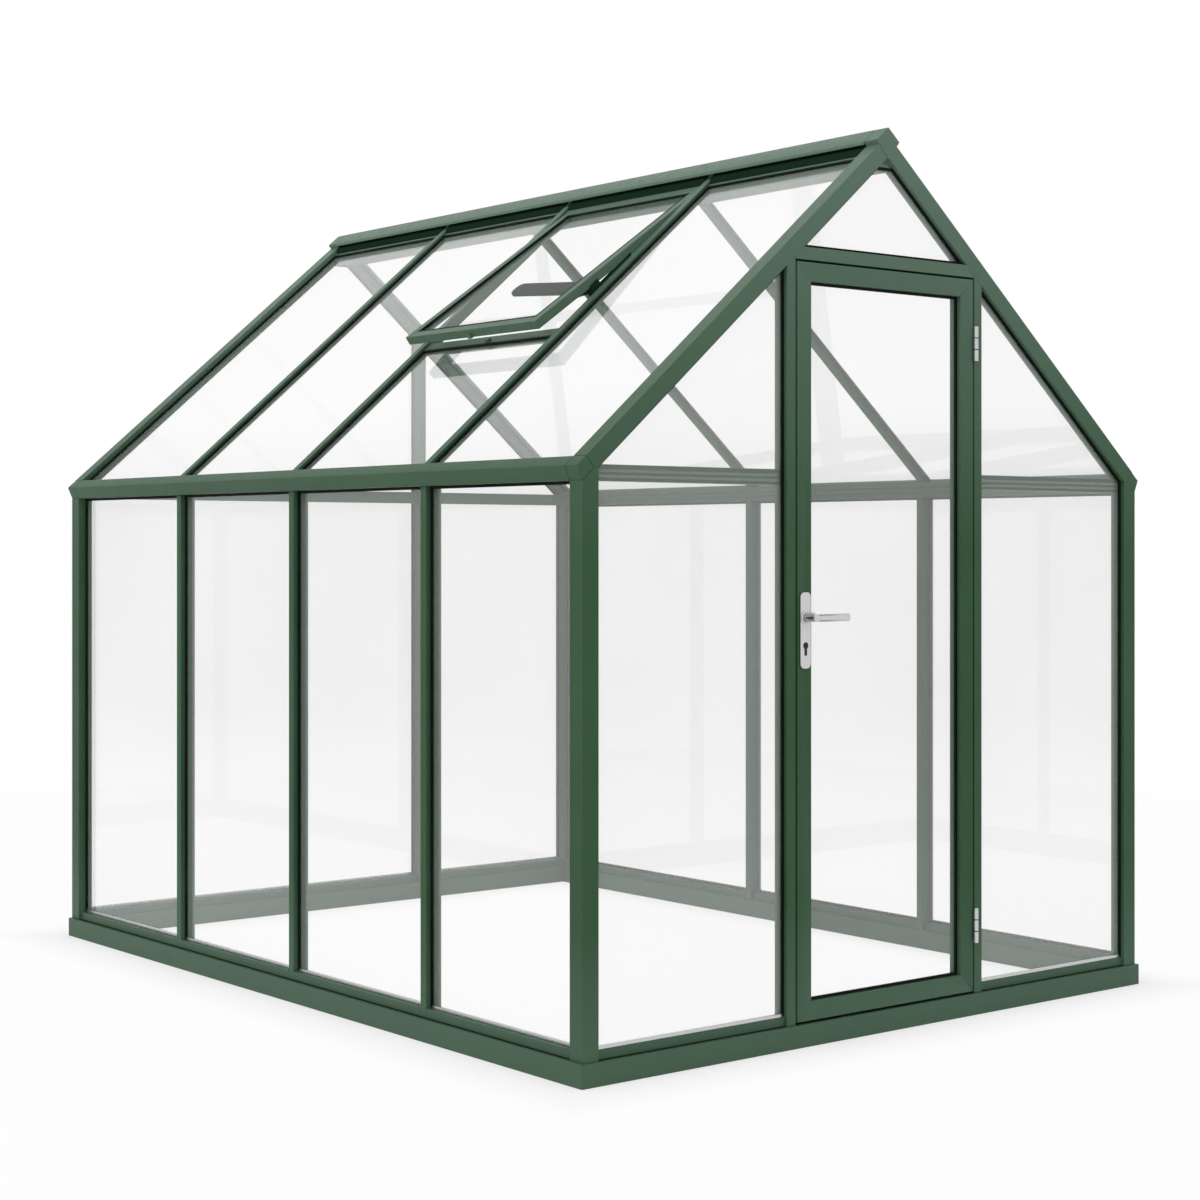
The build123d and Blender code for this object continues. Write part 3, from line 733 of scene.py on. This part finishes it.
def makeFloor():
    mesh = bmesh.new()
    bmesh.ops.create_grid(mesh, x_segments=1, y_segments=1, size=stage["half"])
    data = bpy.data.meshes.new("floor")
    mesh.to_mesh(data)
    mesh.free()
    floor = bpy.data.objects.new("floor", data)
    bpy.context.scene.collection.objects.link(floor)
    material = bpy.data.materials.new("paleFloor")
    material.use_nodes = True
    tree = material.node_tree
    tree.nodes.clear()
    matte = tree.nodes.new("ShaderNodeBsdfDiffuse")
    matte.inputs["Color"].default_value = stage["albedo"]
    white = tree.nodes.new("ShaderNodeEmission")
    blend = tree.nodes.new("ShaderNodeMixShader")
    out = tree.nodes.new("ShaderNodeOutputMaterial")
    # soft shadow round the base, white further off
    gap = baseGap(tree)
    near = addRange(tree, gap, stage["foot"], stage["white"], 0.0, stage["reach"])
    far = addRange(tree, gap, 0.0, 1.0, stage["reach"], stage["far"])
    share = addMath(tree, "MULTIPLY", seenRays(tree), addMath(tree, "MAXIMUM", near, far))
    tree.links.new(share, blend.inputs["Fac"])
    tree.links.new(matte.outputs["BSDF"], blend.inputs[1])
    tree.links.new(white.outputs["Emission"], blend.inputs[2])
    tree.links.new(blend.outputs["Shader"], out.inputs["Surface"])
    data.materials.append(material)


# plain dome and one soft box high on the left, metres and watts
studio = {"dome": 0.78, "boxPlace": (-4.5, -1.5, 5.5), "boxAim": (0.0, 0.0, 1.0),
          "boxSize": 5.0, "boxPower": 75.0}


def makeLight():
    world = bpy.data.worlds.new("studio")
    bpy.context.scene.world = world
    world.use_nodes = True
    tree = world.node_tree
    back = tree.nodes["Background"]
    back.inputs["Color"].default_value = (1.0, 1.0, 1.0, 1.0)
    level = tree.nodes.new("ShaderNodeMapRange")
    level.inputs["To Min"].default_value = studio["dome"]
    level.inputs["To Max"].default_value = 1.0
    tree.links.new(seenRays(tree), level.inputs["Value"])
    tree.links.new(level.outputs["Result"], back.inputs["Strength"])
    lamp = bpy.data.lights.new("sideBox", "AREA")
    lamp.shape = "SQUARE"
    lamp.size = studio["boxSize"]
    lamp.energy = studio["boxPower"]
    box = bpy.data.objects.new("sideBox", lamp)
    box.location = studio["boxPlace"]
    aim = Vector(studio["boxAim"]) - Vector(studio["boxPlace"])
    box.rotation_euler = aim.to_track_quat("-Z", "Y").to_euler()
    box.visible_camera = False
    box.visible_transmission = False
    bpy.context.scene.collection.objects.link(box)


# camera fitted to the photograph, metres, degrees and millimetres
eye = {"place": (-4.083, -5.218, 1.203), "pitch": 90.0, "yaw": 38.74, "lens": 68.09, "sensor": 36.0,
       "shiftY": -0.0449}


def makeCamera():
    data = bpy.data.cameras.new("camera")
    data.lens = eye["lens"]
    data.sensor_width = eye["sensor"]
    data.shift_y = eye["shiftY"]
    camera = bpy.data.objects.new("camera", data)
    camera.location = eye["place"]
    camera.rotation_euler = (math.radians(eye["pitch"]), 0, -math.radians(eye["yaw"]))
    bpy.context.scene.collection.objects.link(camera)
    bpy.context.scene.camera = camera


makeFloor()
makeLight()
makeCamera()
bpy.context.scene.view_settings.view_transform = "Standard"
print("stage, light and camera set")
